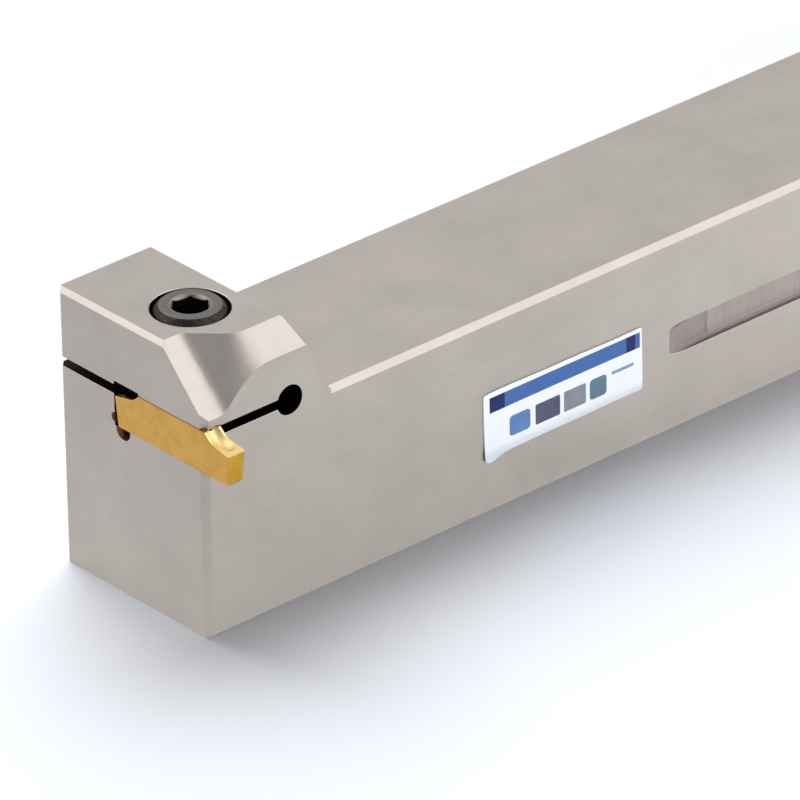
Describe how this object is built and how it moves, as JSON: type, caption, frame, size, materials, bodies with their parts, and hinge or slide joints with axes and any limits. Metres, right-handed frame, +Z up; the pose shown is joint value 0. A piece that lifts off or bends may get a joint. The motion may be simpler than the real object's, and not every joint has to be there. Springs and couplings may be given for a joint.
{
  "type": "turning tool holder",
  "caption": "Square-shank perpendicular grooving holder: slit clamping head with a cap screw and a double-ended gold-coated insert lying across the end.",
  "frame": {"origin": "middle of the shank's bottom seat face, halfway along the bar", "axes": "+X runs from the head towards the rear end of the shank, -Y is the cutting side that the insert points to, +Z is up from the seat"},
  "size_m": [0.1501, 0.0293, 0.0354],
  "materials": {
    "holder_steel": "satin nickel-plated",
    "screw_steel": "black oxide",
    "coated_carbide": "gold-coloured nitride coating",
    "sticker_film": "printed film"
  },
  "bodies": {
    "holder": {"holder_body": "holder_steel", "label_sticker": "sticker_film"},
    "screw": {"clamp_screw": "screw_steel"},
    "insert": {"cutting_insert": "coated_carbide"}
  },
  "joints": [
    {"name": "screw_turn", "type": "hinge", "parent": "holder", "child": "screw", "pos_m": [-0.0673, -0.0016, 0.035], "axis": [0, 0, 1], "range_deg": [0, 1080]},
    {"name": "insert_slide", "type": "slide", "parent": "holder", "child": "insert", "axis": [0, -1, 0], "range_m": [0, 0.0155]}
  ]
}
